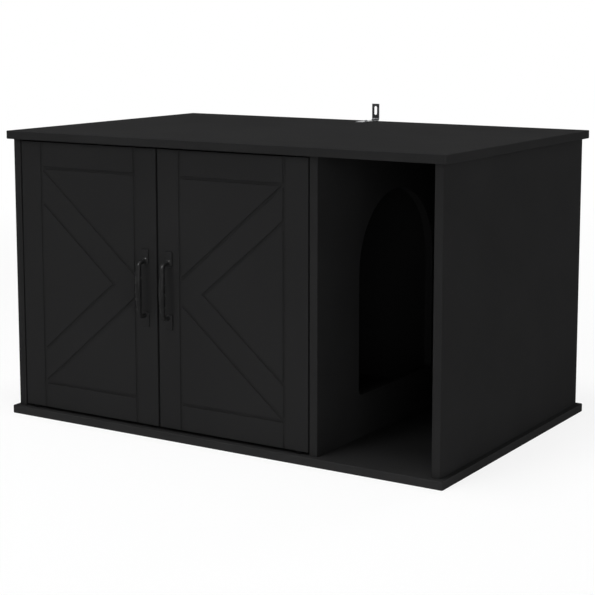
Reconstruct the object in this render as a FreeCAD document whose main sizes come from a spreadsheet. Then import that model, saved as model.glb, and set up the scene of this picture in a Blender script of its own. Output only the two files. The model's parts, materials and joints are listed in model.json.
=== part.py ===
import FreeCAD, Part
import math
import os
import re
import Sketcher

# Cat house: a low cabinet that hides a litter tray. Two inset doors with a grooved plank pattern close the
# wide bay, the narrow bay is open at the front, and the divider between them has an arched doorway.
# Millimetres and degrees. +X is to the right seen from the front, +Y to the back, +Z up, and the origin is
# the middle of the base board's underside.

V = FreeCAD.Vector
doc = FreeCAD.newDocument("CatHouse")
sheet = doc.addObject("Spreadsheet::Sheet", "Sizes")

sizes = {
    # Carcass
    "cabinet_width": "900",
    "cabinet_depth": "580",
    "cabinet_height": "530",
    "board": "15",
    "overhang": "10",
    "corner_round": "3",
    "edge_round": "1.5",
    "entry_width": "212",
    # Back panel, let into the side panels
    "back_thickness": "5",
    "rebate_width": "7",
    "back_slack": "0.3",
    "back_screw_margin": "40",
    # Arched doorway in the divider
    "arch_radius": "135",
    "arch_setback": "272",
    "arch_sill": "75",
    "arch_head": "77",
    "arch_corner": "12",
    # Doors and their plank pattern
    "door_gap": "3",
    "meeting_gap": "4",
    "door_foot_gap": "5",
    "door_round": "1.2",
    "plank": "47",
    "groove_width": "5",
    "groove_depth": "2.5",
    "brace_angle": "40",
    # Door pivots
    "pivot_inset": "20",
    "pin_diameter": "6",
    "pin_seat": "10",
    "pin_reach": "10",
    "bush_diameter": "10",
    "bush_length": "16",
    "flange_diameter": "13",
    "flange_thickness": "2",
    "washer_diameter": "14",
    # Clearances: turning fits and seated pieces are radial, facing pieces are across their gap
    "turning_clearance": "0.05",
    "seat_clearance": "0.1",
    "facing_gap": "0.3",
    "hole_slack": "1",
    # Board fittings
    "dowel_diameter": "8",
    "dowel_length": "30",
    "dowel_seat": "10",
    "dowel_inset": "110",
    "dowel_chamfer": "1",
    "cam_diameter": "15",
    "cam_floor": "2.5",
    "cam_setback": "34",
    "cam_inset": "60",
    "cam_slot_width": "2",
    "cam_slot_length": "9",
    "cam_slot_depth": "2.5",
    "bolt_diameter": "6",
    "bolt_seat": "11",
    "bolt_neck": "4.6",
    "bolt_head": "6.4",
    "bolt_head_length": "4",
    "bolt_slack": "0.8",
    # Handles
    "handle_spacing": "96",
    "handle_standoff": "20",
    "handle_bow": "2",
    "handle_bend": "9",
    "leg_diameter": "8.2",
    "grip_diameter": "11.8",
    "foot_width": "15",
    "foot_thickness": "3",
    "foot_inner": "5",
    "foot_outer": "21",
    "foot_round": "1",
    "handle_bolt_diameter": "4",
    "handle_bolt_reach": "9",
    "handle_bolt_head": "8",
    "handle_bolt_head_height": "2.4",
    # Magnetic catches
    "catch_inset": "60",
    "catch_wall": "2",
    "catch_ear": "3",
    "catch_ear_length": "8",
    "magnet_length": "24",
    "magnet_height": "8",
    "magnet_depth": "12",
    "magnet_drop": "12",
    "magnet_proud": "0.5",
    "strike_length": "32",
    "strike_height": "12",
    "strike_thickness": "1.5",
    # Small screws
    "screw_diameter": "3",
    "screw_head": "6.6",
    "screw_head_height": "2",
    "screw_tip": "3",
    "screw_length": "11",
    "long_screw_length": "16",
    "recess_length": "3.4",
    "recess_width": "0.9",
    "recess_depth": "1",
    # Wall bracket
    "bracket_width": "15.5",
    "bracket_thickness": "2",
    "bracket_rise": "34",
    "bracket_run": "70",
    "bracket_bend": "6",
    "bracket_slot_width": "6.6",
    "bracket_slot_length": "17.5",
    "bracket_slot_margin": "4.6",
    "bracket_screw_setback": "40",
}
for row, (alias, number) in enumerate(sizes.items(), start=1):
    sheet.set("A%d" % row, alias.replace("_", " "))
    sheet.set("B%d" % row, number)
    sheet.setAlias("B%d" % row, alias)
doc.recompute()

# Places and sizes that follow from the driving dimensions
carcass_depth = "(cabinet_depth - 2 * overhang)"
carcass_height = "(cabinet_height - 2 * board)"
carcass_front = "(overhang - cabinet_depth / 2)"
inner_left = "(overhang + board - cabinet_width / 2)"
inner_right = "(cabinet_width / 2 - overhang - board)"
divider_left = "(%s - entry_width - board)" % inner_right
ceiling = "(cabinet_height - board)"
door_width = "((%s - %s - 2 * door_gap - meeting_gap) / 2)" % (divider_left, inner_left)
door_height = "(%s - door_gap - door_foot_gap)" % carcass_height
door_back = "(%s + board)" % carcass_front
door_bottom = "(board + door_foot_gap)"
pivot_depth = "(%s + board / 2)" % carcass_front
cam_depth = "(board - cam_floor)"
bolt_hole = "(bolt_head + 2 * bolt_slack)"
catch_block = "(magnet_length + 2 * catch_wall)"
catch_length = "(%s + 2 * catch_ear_length)" % catch_block
catch_height = "(magnet_drop + magnet_height / 2 + catch_wall)"
catch_depth = "(magnet_depth + 2 * catch_wall)"

# A bow pull's stations from end to end: share of the grip's length, of the bow and of the swelling
grip_stations_shares = [
    (0, 0, 0), (0.12, 0.22, 0.3), (0.28, 0.68, 0.75), (0.5, 1, 1),
    (0.72, 0.68, 0.75), (0.88, 0.22, 0.3), (1, 0, 0),
]
# A pan head's flat top and upright side as shares of its radius and height
head_flat_share = 0.62
head_side_share = 0.45
# Screws of the back panel, up each of its three columns
back_screw_row_shares = (0, 1 / 3, 2 / 3, 1)

# Two places or directions this close are the same
touching = 1e-4

down = FreeCAD.Rotation(V(1, 0, 0), 180)
to_back = FreeCAD.Rotation(V(1, 0, 0), -90)
about_face = FreeCAD.Rotation(V(0, 0, 1), 180)
upright = FreeCAD.Rotation()


def formula(text):
    # The names of sizes in a formula become references to the sheet
    return re.sub(r"[a-z]\w+", lambda word: "Sizes." + word[0] if word[0] in sizes else word[0], str(text))


def bind(target, prop, text):
    target.setExpression(prop, formula(text))


def value(text):
    return float(sheet.evalExpression(formula(text)))


def put(target, across, depth, up, turn=upright):
    # Places an object by three formulas, turned as given
    target.Placement = FreeCAD.Placement(V(), turn)
    bind(target, "Placement.Base.x", across)
    bind(target, "Placement.Base.y", depth)
    bind(target, "Placement.Base.z", up)
    return target


def new_body(label):
    body = doc.addObject("PartDesign::Body", label)
    body.Label = label
    return body


def sketch_on(body, role, lift="0"):
    # A sketch on one of the body's own planes, lifted along the plane's normal
    sketch = body.newObject("Sketcher::SketchObject", "%s_sketch" % body.Name)
    plane = [feature for feature in body.Origin.OriginFeatures if feature.Role == role][0]
    sketch.AttachmentSupport = (plane, [""])
    sketch.MapMode = "FlatFace"
    bind(sketch, "AttachmentOffset.Base.z", lift)
    return sketch


def hold(sketch, kind, text, *points):
    # One dimension of a sketch, bound to its formula
    number = sketch.addConstraint(Sketcher.Constraint(kind, *points, value(text)))
    bind(sketch, "Constraints[%d]" % number, text)


def hold_point(sketch, edge, end, across, up):
    hold(sketch, "DistanceX", across, -1, 1, edge, end)
    hold(sketch, "DistanceY", up, -1, 1, edge, end)


def draw_outline(sketch, points):
    # A closed outline of straight edges through points given as pairs of formulas
    corners = [V(value(across), value(up), 0) for across, up in points]
    first = sketch.GeometryCount
    for number, corner in enumerate(corners):
        following = corners[(number + 1) % len(corners)]
        sketch.addGeometry(Part.LineSegment(corner, following), False)
    for number, (across, up) in enumerate(points):
        before = first + (number - 1) % len(points)
        sketch.addConstraint(Sketcher.Constraint("Coincident", before, 2, first + number, 1))
        hold_point(sketch, first + number, 1, across, up)


def draw_box(sketch, left, low, right, high):
    draw_outline(sketch, [(left, low), (right, low), (right, high), (left, high)])


def draw_rounds(sketch, spots, diameter):
    for across, up in spots:
        middle = V(value(across), value(up), 0)
        circle = sketch.addGeometry(Part.Circle(middle, V(0, 0, 1), value(diameter) / 2), False)
        hold_point(sketch, circle, 3, across, up)
        hold(sketch, "Diameter", diameter, circle)


def add_pad(body, sketch, length, reverse=False):
    feature = body.newObject("PartDesign::Pad", "%s_pad" % body.Name)
    feature.Profile = sketch
    feature.Reversed = reverse
    bind(feature, "Length", length)
    doc.recompute()
    return feature


def add_pocket(body, sketch, depth, reverse=False):
    # Cuts a sketch into the body, and makes sure that something was cut
    before = body.Shape.Volume
    feature = body.newObject("PartDesign::Pocket", "%s_pocket" % body.Name)
    feature.Profile = sketch
    feature.Reversed = reverse
    bind(feature, "Length", depth)
    doc.recompute()
    if not body.Shape.Volume < before:
        raise ValueError("a pocket of %s cuts nothing" % body.Label)
    return feature


def drill(body, role, spots, diameter, depth, lift="0", reverse=False):
    sketch = sketch_on(body, role, lift)
    draw_rounds(sketch, spots, diameter)
    add_pocket(body, sketch, depth, reverse)


def soften(body, chosen, radius):
    # Rounds the edges of the body's last feature that the test picks
    last = body.Tip
    names = ["Edge%d" % (number + 1) for number, edge in enumerate(last.Shape.Edges) if chosen(edge)]
    feature = body.newObject("PartDesign::Fillet", "%s_round" % body.Name)
    feature.Base = (last, names)
    bind(feature, "Radius", radius)
    doc.recompute()


def runs_along(edge, axis):
    # True for a straight edge along the axis, a vector
    straight = edge.Curve.TypeId == "Part::GeomLine"
    return straight and edge.Curve.Direction.cross(axis).Length < touching


def lies_at(edge, axis, text):
    # True for an edge that stays at one place along the axis, 0, 1 or 2
    box = edge.BoundBox
    low, high = [(box.XMin, box.XMax), (box.YMin, box.YMax), (box.ZMin, box.ZMax)][axis]
    place = value(text)
    return abs(low - place) < touching and abs(high - place) < touching


def turn_body(label, profile):
    # A round piece about the Z axis, from points given as radius and height
    body = new_body(label)
    sketch = sketch_on(body, "XZ_Plane")
    draw_outline(sketch, profile)
    feature = body.newObject("PartDesign::Revolution", "%s_turned" % label)
    feature.Profile = sketch
    feature.ReferenceAxis = (sketch, ["V_Axis"])
    feature.Angle = 360
    doc.recompute()
    return body


def cut_cross(body, lift):
    # The cross recess in a screw's head, as two crossing slots
    for length, width in (("recess_length", "recess_width"), ("recess_width", "recess_length")):
        sketch = sketch_on(body, "XY_Plane", lift)
        draw_box(sketch, "-%s / 2" % length, "-%s / 2" % width, "%s / 2" % length, "%s / 2" % width)
        add_pocket(body, sketch, "recess_depth")


def pan_screw(label, diameter, length, head, head_height, tip):
    # A pan head screw, seated at height zero and pointing down
    flat = "%s / 2 * %g" % (head, head_flat_share)
    side = "%s * %g" % (head_height, head_side_share)
    body = turn_body(label, [
        ("0", "-%s" % length), ("%s / 2" % diameter, "%s - %s" % (tip, length)), ("%s / 2" % diameter, "0"),
        ("%s / 2" % head, "0"), ("%s / 2" % head, side), (flat, head_height), ("0", head_height),
    ])
    cut_cross(body, head_height)
    return body


def copies(label, master, places):
    # A group of like pieces, each placed by three formulas and a turn
    links = []
    for across, depth, up, turn in places:
        link = doc.addObject("App::Link", "%s_copy" % label)
        link.LinkedObject = master
        links.append(put(link, across, depth, up, turn))
    group = doc.addObject("Part::Compound", label)
    group.Label = label
    group.Links = links
    return group


# The three upright boards: left face, whether the fittings are on the right face, and the depth taken off
# at the back
upright_boards = {
    "left_side_panel": ("(%s - board)" % inner_left, True, "0"),
    "divider_panel": (divider_left, False, "back_thickness"),
    "right_side_panel": (inner_right, False, "0"),
}
cam_rows = ("cam_inset", "(%s - cam_inset)" % carcass_depth)
dowel_rows = ("dowel_inset", "(%s - dowel_inset)" % carcass_depth)
parts = []


def fitting_spots(rows):
    # Where the upright boards' fittings stand on the base and under the top
    return [("%s + board / 2" % left, "%s + %s" % (carcass_front, row))
            for left, _, _ in upright_boards.values() for row in rows]


pivot_spots = {
    "left": ("%s + door_gap + pivot_inset" % inner_left, pivot_depth),
    "right": ("%s - door_gap - pivot_inset" % divider_left, pivot_depth),
}
meeting_edge = {
    "left": "(%s + door_gap + %s)" % (inner_left, door_width),
    "right": "(%s - door_gap - %s)" % (divider_left, door_width),
}
towards_hinge = {"left": "-", "right": "+"}
catch_spots = {door: "(%s %s catch_inset)" % (edge, towards_hinge[door])
               for door, edge in meeting_edge.items()}
catch_screw_reach = "(screw_length - catch_ear)"
catch_front = "(%s + strike_thickness + facing_gap + magnet_proud)" % door_back
catch_ear_middle = "(%s + catch_ear_length) / 2" % catch_block
catch_screw_spots = [("%s %s %s" % (spot, sign, catch_ear_middle), "%s + %s / 2" % (catch_front, catch_depth))
                     for spot in catch_spots.values() for sign in "-+"]
bracket_screw_spot = ("0", "cabinet_depth / 2 - bracket_screw_setback")


def flat_board(label, height, holes_up):
    # The base or the top board, with the holes for what stands on it or hangs under it
    body = new_body(label)
    sketch = sketch_on(body, "XY_Plane")
    draw_box(sketch, "-cabinet_width / 2", "-cabinet_depth / 2", "cabinet_width / 2", "cabinet_depth / 2")
    add_pad(body, sketch, "board")
    soften(body, lambda edge: runs_along(edge, V(0, 0, 1)), "corner_round")
    soften(body, lambda edge: lies_at(edge, 2, "board") or lies_at(edge, 2, "0"), "edge_round")
    lift = "board" if holes_up else "0"
    for spots, diameter, depth in (
        (fitting_spots(cam_rows), "bolt_diameter", "bolt_seat"),
        (fitting_spots(dowel_rows), "dowel_diameter", "dowel_seat"),
        (list(pivot_spots.values()), "pin_diameter", "pin_seat"),
    ):
        drill(body, "XY_Plane", spots, "%s + 2 * seat_clearance" % diameter, depth, lift, not holes_up)
    parts.append(put(body, "0", "0", height))
    return body


flat_board("base_panel", "0", True)
top = flat_board("top_panel", ceiling, False)
pilot = "screw_diameter + 2 * seat_clearance"
drill(top, "XY_Plane", catch_screw_spots, pilot, "%s + hole_slack" % catch_screw_reach, "0", True)
drill(top, "XY_Plane", [bracket_screw_spot], pilot, "screw_length", "board")


def upright_board(label, left, fittings_right, shorter):
    # A side panel or the divider, bored for its dowels, cam bolts and cam locks
    body = new_body(label)
    depth = "(%s - %s)" % (carcass_depth, shorter)
    shoulder = "(%s - back_thickness)" % carcass_depth
    outlines = {
        "left_side_panel": [("0", "0"), ("board", "0"), ("board", shoulder),
                            ("board - rebate_width", shoulder),
                            ("board - rebate_width", depth), ("0", depth)],
        "divider_panel": [("0", "0"), ("board", "0"), ("board", depth), ("0", depth)],
        "right_side_panel": [("0", "0"), ("board", "0"), ("board", depth), ("rebate_width", depth),
                             ("rebate_width", shoulder), ("0", shoulder)],
    }
    sketch = sketch_on(body, "XY_Plane")
    draw_outline(sketch, outlines[label])
    add_pad(body, sketch, carcass_height)
    soften(body, lambda edge: runs_along(edge, V(0, 0, 1)) and lies_at(edge, 1, "0"), "edge_round / 2")
    for lift, reverse in (("0", True), (carcass_height, False)):
        dowels = [("board / 2", row) for row in dowel_rows]
        bolts = [("board / 2", row) for row in cam_rows]
        dowel_hole = "dowel_length - dowel_seat + hole_slack"
        drill(body, "XY_Plane", dowels, "dowel_diameter + 2 * seat_clearance", dowel_hole, lift, reverse)
        drill(body, "XY_Plane", bolts, bolt_hole, "cam_setback", lift, reverse)
    cams = [(row, up) for row in cam_rows for up in ("cam_setback", "%s - cam_setback" % carcass_height)]
    cam_hole = "cam_diameter + 2 * seat_clearance"
    drill(body, "YZ_Plane", cams, cam_hole, cam_depth, "board" if fittings_right else "0", not fittings_right)
    parts.append(put(body, left, carcass_front, "board"))
    return body


boards = {label: upright_board(label, *facts) for label, facts in upright_boards.items()}


def cut_arch(body):
    # The doorway: a half round on two upright sides, with a raised sill and eased lower corners
    sketch = sketch_on(body, "YZ_Plane")
    spring = "(%s - arch_head - arch_radius)" % carcass_height
    front, back = "arch_setback - arch_radius", "arch_setback + arch_radius"
    ring = Part.Circle(V(value("arch_setback"), value(spring), 0), V(0, 0, 1), value("arch_radius"))
    points = [V(value(a), value(b), 0) for a, b in
              ((front, spring), (front, "arch_sill"), (back, "arch_sill"), (back, spring))]
    for start, end in zip(points, points[1:]):
        sketch.addGeometry(Part.LineSegment(start, end), False)
    arc = sketch.addGeometry(Part.ArcOfCircle(ring, 0, math.pi), False)
    for side in (0, 1):
        sketch.addConstraint(Sketcher.Constraint("Coincident", side, 2, side + 1, 1))
    sketch.addConstraint(Sketcher.Constraint("Tangent", 2, 2, arc, 1))
    sketch.addConstraint(Sketcher.Constraint("Tangent", arc, 2, 0, 1))
    sketch.addConstraint(Sketcher.Constraint("Vertical", 0))
    sketch.addConstraint(Sketcher.Constraint("Horizontal", 1))
    hold_point(sketch, arc, 3, "arch_setback", spring)
    hold(sketch, "Radius", "arch_radius", arc)
    hold(sketch, "DistanceY", "arch_sill", -1, 1, 1, 1)
    add_pocket(body, sketch, "board", True)
    soften(body, lambda edge: runs_along(edge, V(1, 0, 0)) and lies_at(edge, 2, "arch_sill"), "arch_corner")


cut_arch(boards["divider_panel"])

# Back panel and its screws
back_columns = {
    "left": "%s - rebate_width / 2" % inner_left,
    "divider": "%s + board / 2" % divider_left,
    "right": "%s + rebate_width / 2" % inner_right,
}
back_low = "(board + back_slack)"
back_height = "(%s - 2 * back_slack)" % carcass_height
back_left = "(%s - rebate_width + back_slack)" % inner_left
back_width = "(%s - %s + 2 * rebate_width - 2 * back_slack)" % (inner_right, inner_left)
back_face = "(cabinet_depth / 2 - overhang)"
back_rows = ["(back_screw_margin + %.6f * (%s - 2 * back_screw_margin))" % (share, back_height)
             for share in back_screw_row_shares]
back = new_body("back_panel")
back_sketch = sketch_on(back, "XZ_Plane")
draw_box(back_sketch, "0", "0", back_width, back_height)
add_pad(back, back_sketch, "back_thickness", True)
back_spots = [("%s - %s" % (column, back_left), row) for column in back_columns.values() for row in back_rows]
drill(back, "XZ_Plane", back_spots, pilot, "back_thickness")
parts.append(put(back, back_left, "%s - back_thickness" % back_face, back_low))
for label, column in zip(upright_boards, back_columns.values()):
    left = upright_boards[label][0]
    board_spots = [("%s - %s" % (column, left), "%s + back_slack" % row) for row in back_rows]
    seat = "(%s - back_thickness)" % carcass_depth
    drill(boards[label], "XZ_Plane", board_spots, pilot, "long_screw_length", "-%s" % seat, True)

screw_head_sizes = ("screw_head", "screw_head_height", "screw_tip")
small_screw = pan_screw("small_screw", "screw_diameter", "screw_length", *screw_head_sizes)
long_screw = pan_screw("long_screw", "screw_diameter", "long_screw_length", *screw_head_sizes)
parts.append(copies("back_panel_screws", long_screw, [
    (column, back_face, "%s + %s" % (back_low, row), to_back)
    for column in back_columns.values() for row in back_rows]))

# Dowels, cam bolts and cam locks, the same at both ends of each upright board
dowel = turn_body("dowel", [
    ("0", "-dowel_seat"), ("dowel_diameter / 2 - dowel_chamfer", "-dowel_seat"),
    ("dowel_diameter / 2", "dowel_chamfer - dowel_seat"),
    ("dowel_diameter / 2", "dowel_length - dowel_seat - dowel_chamfer"),
    ("dowel_diameter / 2 - dowel_chamfer", "dowel_length - dowel_seat"), ("0", "dowel_length - dowel_seat"),
])
neck_top = "cam_setback - bolt_head_length / 2"
bolt_top = "cam_setback + bolt_head_length / 2"
cam_bolt = turn_body("cam_bolt", [
    ("0", "-bolt_seat"), ("bolt_diameter / 2", "-bolt_seat"), ("bolt_diameter / 2", "0"),
    ("bolt_neck / 2", "0"), ("bolt_neck / 2", neck_top), ("bolt_head / 2", neck_top),
    ("bolt_head / 2", bolt_top), ("0", bolt_top),
])
ends = (("board", upright), (ceiling, down))
parts.append(copies("joint_dowels", dowel, [
    (across, depth, up, turn) for across, depth in fitting_spots(dowel_rows) for up, turn in ends]))
parts.append(copies("cam_bolts", cam_bolt, [
    (across, depth, up, turn) for across, depth in fitting_spots(cam_rows) for up, turn in ends]))

cam = new_body("cam")
cam_sketch = sketch_on(cam, "YZ_Plane")
draw_rounds(cam_sketch, [("0", "0")], "cam_diameter")
add_pad(cam, cam_sketch, cam_depth, True)
mouth = sketch_on(cam, "XY_Plane", "-cam_diameter / 2")
draw_rounds(mouth, [("-board / 2", "0")], bolt_hole)
add_pocket(cam, mouth, "cam_diameter / 2 + %s / 2" % bolt_hole, True)
for length, width in (("cam_slot_length", "cam_slot_width"), ("cam_slot_width", "cam_slot_length")):
    slot = sketch_on(cam, "YZ_Plane")
    draw_box(slot, "-%s / 2" % length, "-%s / 2" % width, "%s / 2" % length, "%s / 2" % width)
    add_pocket(cam, slot, "cam_slot_depth")
cam_heights = (("(board + cam_setback)", upright), ("(%s - cam_setback)" % ceiling, down))
cam_places = []
for left, fittings_right, _ in upright_boards.values():
    for row in cam_rows:
        for up, turn in cam_heights:
            face = "%s + board" % left if fittings_right else left
            facing = turn if fittings_right else about_face.multiply(turn)
            cam_places.append((face, "%s + %s" % (carcass_front, row), up, facing))
parts.append(copies("cam_locks", cam, cam_places))

# Door pivots: steel pins in the base and the top, nylon bushes in the door, a washer under it
pin_top = "door_foot_gap + pin_reach"
pivot_pin = turn_body("pivot_pin", [
    ("0", "-pin_seat"), ("pin_diameter / 2", "-pin_seat"), ("pin_diameter / 2", "%s - edge_round" % pin_top),
    ("pin_diameter / 2 - edge_round", pin_top), ("0", pin_top),
])
bore = "pin_diameter / 2 + turning_clearance"
pivot_bush = turn_body("pivot_bush", [
    (bore, "-flange_thickness"), ("flange_diameter / 2", "-flange_thickness"), ("flange_diameter / 2", "0"),
    ("bush_diameter / 2", "0"), ("bush_diameter / 2", "bush_length"), (bore, "bush_length"),
])
washer_thickness = "(door_foot_gap - flange_thickness - facing_gap)"
for side, (across, depth) in pivot_spots.items():
    parts.append(copies("%s_pivot_pins" % side, pivot_pin, [(across, depth, up, turn) for up, turn in ends]))
    washer = turn_body("%s_pivot_washer" % side, [
        ("pin_diameter / 2 + seat_clearance", "0"), ("washer_diameter / 2", "0"),
        ("washer_diameter / 2", washer_thickness), ("pin_diameter / 2 + seat_clearance", washer_thickness),
    ])
    parts.append(put(washer, across, depth, "board"))
    parts.append(copies("%s_pivot_bushes" % side, pivot_bush, [
        (across, depth, door_bottom, upright),
        (across, depth, "%s + %s" % (door_bottom, door_height), down)]))


def groove_bar(label, length, x, z, angle):
    # A flat bar whose inner half cuts a groove; it starts at x, z and runs along the angle
    bar = doc.addObject("Part::Box", label)
    bind(bar, "Length", length)
    bind(bar, "Width", "2 * groove_depth")
    bind(bar, "Height", "groove_width")
    turn = FreeCAD.Rotation(V(0, 1, 0), -angle)
    lean = turn.multVec(V(0, 0, 1))
    back_off = "%s - %.9f * groove_width / 2"
    return put(bar, back_off % (x, lean.x), "-groove_depth", back_off % (z, lean.z), turn)


def clip(label, bars, low, high):
    # Keeps what lies in one half of the door's field, from edge plank to edge plank
    joined = doc.addObject("Part::MultiFuse", "%s_bars" % label)
    joined.Shapes = bars
    field = doc.addObject("Part::Box", "%s_field" % label)
    bind(field, "Length", "%s - 2 * plank" % door_width)
    bind(field, "Width", "4 * groove_depth")
    bind(field, "Height", "%s - %s" % (high, low))
    put(field, "plank", "-2 * groove_depth", low)
    kept = doc.addObject("Part::Common", label)
    kept.Base = joined
    kept.Tool = field
    return kept


def door_grooves(side):
    # Two upright grooves, two level ones, and braces that point to the meeting edge
    mirrored = side == "right"
    brace_angle = value("brace_angle")
    outer = "(%s - plank)" % door_width if mirrored else "plank"
    middle = "(%s / 2)" % door_height
    upper = "(%s - plank)" % door_height
    tools = []
    for x in ("plank", "%s - plank" % door_width):
        tools.append(groove_bar("%s_upright" % side, door_height, x, "0", 90))
    for z in ("plank", upper):
        tools.append(groove_bar("%s_level" % side, "%s - 2 * plank" % door_width, "plank", z, 0))
    step = "(plank / cos(brace_angle))"
    for label, low, high, corner, inner, sign in (
        ("lower", "plank", middle, "plank", "plank + %s" % step, 1),
        ("upper", middle, upper, upper, "%s - %s" % (upper, step), -1),
    ):
        angle = 180 - sign * brace_angle if mirrored else sign * brace_angle
        bars = [groove_bar("%s_%s_brace" % (side, label), door_height, outer, start, angle)
                for start in (corner, inner)]
        tools.append(clip("%s_%s_braces" % (side, label), bars, low, high))
    grooves = doc.addObject("Part::MultiFuse", "%s_grooves" % side)
    grooves.Shapes = tools
    return grooves


def door_panel(side):
    # A door board in its own frame: lower left front corner at the origin
    body = new_body("%s_door_board" % side)
    hinge = "pivot_inset" if side == "left" else "(%s - pivot_inset)" % door_width
    stile = "(%s - plank / 2)" % door_width if side == "left" else "(plank / 2)"
    strike = "(%s - catch_inset)" % door_width if side == "left" else "catch_inset"
    sketch = sketch_on(body, "XZ_Plane")
    draw_box(sketch, "0", "0", door_width, door_height)
    add_pad(body, sketch, "board", True)
    soften(body, lambda edge: lies_at(edge, 1, "0"), "door_round")
    bush_hole = "bush_diameter + 2 * seat_clearance"
    for lift, reverse in (("0", True), (door_height, False)):
        drill(body, "XY_Plane", [(hinge, "board / 2")], bush_hole, "bush_length", lift, reverse)
    bolts = [(stile, "%s / 2 %s handle_spacing / 2" % (door_height, sign)) for sign in "-+"]
    drill(body, "XZ_Plane", bolts, "handle_bolt_diameter + 2 * seat_clearance", "board")
    plate = [(strike, "%s + door_gap - magnet_drop" % door_height)]
    drill(body, "XZ_Plane", plate, pilot, "screw_length", "-board", True)
    panel = doc.addObject("Part::Cut", "%s_door_panel" % side)
    panel.Label = "%s_door_panel" % side
    panel.Base = body
    panel.Tool = door_grooves(side)
    left = "%s + door_gap" % inner_left if side == "left" else meeting_edge["right"]
    return put(panel, left, carcass_front, door_bottom)


handle_middle = "(%s + %s / 2)" % (door_bottom, door_height)
handle_spots = {door: "(%s %s plank / 2)" % (edge, towards_hinge[door])
                for door, edge in meeting_edge.items()}
bend_height = "(handle_spacing / 2 - handle_bend)"
leg_length = "(handle_standoff - handle_bend)"


def handle(side):
    # A bow pull: two feet, two legs that turn into a grip, which swells and bows out in the middle
    feet = new_body("%s_handle_feet" % side)
    sketch = sketch_on(feet, "XZ_Plane")
    for low, high in (("-handle_spacing / 2 - foot_outer", "foot_inner - handle_spacing / 2"),
                      ("handle_spacing / 2 - foot_inner", "handle_spacing / 2 + foot_outer")):
        draw_box(sketch, "-foot_width / 2", low, "foot_width / 2", high)
    add_pad(feet, sketch, "foot_thickness")
    soften(feet, lambda edge: not lies_at(edge, 1, "0"), "foot_round")
    pieces = [feet]
    for name, sign, along, out in (
        ("upper", "", V(0, 0, 1), V(0, -1, 0)),
        ("lower", "-", V(0, -1, 0), V(0, 0, -1)),
    ):
        leg = doc.addObject("Part::Cylinder", "%s_%s_leg" % (side, name))
        bind(leg, "Radius", "leg_diameter / 2")
        bind(leg, "Height", leg_length)
        pieces.append(put(leg, "0", "0", "%shandle_spacing / 2" % sign, FreeCAD.Rotation(V(1, 0, 0), 90)))
        bend = doc.addObject("Part::Torus", "%s_%s_bend" % (side, name))
        bind(bend, "Radius1", "handle_bend")
        bind(bend, "Radius2", "leg_diameter / 2")
        bend.Angle3 = 90
        turn = FreeCAD.Rotation(along, out, V(1, 0, 0), "ZXY")
        pieces.append(put(bend, "0", "-%s" % leg_length, "%s%s" % (sign, bend_height), turn))
    rings = []
    for along, bow, swell in grip_stations_shares:
        ring = doc.addObject("Part::Circle", "%s_grip_ring" % side)
        bind(ring, "Radius", "(leg_diameter + %g * (grip_diameter - leg_diameter)) / 2" % swell)
        out = "-handle_standoff - %g * handle_bow" % bow
        rings.append(put(ring, "0", out, "%g * %s" % (2 * along - 1, bend_height)))
    grip = doc.addObject("Part::Loft", "%s_grip" % side)
    grip.Sections = rings
    grip.Solid = True
    whole = doc.addObject("Part::MultiFuse", "%s_handle_whole" % side)
    whole.Shapes = pieces + [grip]
    threads = []
    for sign in "-+":
        thread = doc.addObject("Part::Cylinder", "%s_handle_thread" % side)
        bind(thread, "Radius", "handle_bolt_diameter / 2 + seat_clearance")
        bind(thread, "Height", "handle_bolt_reach + hole_slack")
        threads.append(put(thread, "0", "0", "%shandle_spacing / 2" % sign, FreeCAD.Rotation(V(1, 0, 0), 90)))
    holes = doc.addObject("Part::MultiFuse", "%s_handle_threads" % side)
    holes.Shapes = threads
    pull = doc.addObject("Part::Cut", "%s_handle" % side)
    pull.Label = "%s_handle" % side
    pull.Base = whole
    pull.Tool = holes
    return put(pull, handle_spots[side], carcass_front, handle_middle)


def catch_housing(door):
    # A plastic block with two ears under the top, open at the front for its magnet
    body = new_body("%s_catch_housing" % door)
    sketch = sketch_on(body, "XZ_Plane")
    ear_end = "%s / 2" % catch_length
    side = "%s / 2" % catch_block
    low = "-%s" % catch_height
    draw_outline(sketch, [
        ("-" + ear_end, "-catch_ear"), ("-" + side, "-catch_ear"), ("-" + side, low), (side, low),
        (side, "-catch_ear"), (ear_end, "-catch_ear"), (ear_end, "0"), ("-" + ear_end, "0"),
    ])
    add_pad(body, sketch, catch_depth, True)
    cavity = sketch_on(body, "XZ_Plane")
    reach = "(magnet_length / 2 + seat_clearance)"
    rise = "(magnet_height / 2 + seat_clearance)"
    draw_box(cavity, "-%s" % reach, "-magnet_drop - %s" % rise, reach, "%s - magnet_drop" % rise)
    add_pocket(body, cavity, "magnet_depth - magnet_proud")
    ears = [("%s%s" % (sign, catch_ear_middle), "%s / 2" % catch_depth) for sign in ("-", "")]
    drill(body, "XY_Plane", ears, pilot, "catch_ear")
    return put(body, catch_spots[door], catch_front, ceiling)


def catch_magnet(side):
    magnet = doc.addObject("Part::Box", "%s_catch_magnet" % side)
    magnet.Label = "%s_catch_magnet" % side
    bind(magnet, "Length", "magnet_length")
    bind(magnet, "Width", "magnet_depth")
    bind(magnet, "Height", "magnet_height")
    return put(magnet, "%s - magnet_length / 2" % catch_spots[side], "%s - magnet_proud" % catch_front,
               "%s - magnet_drop - magnet_height / 2" % ceiling)


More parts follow.
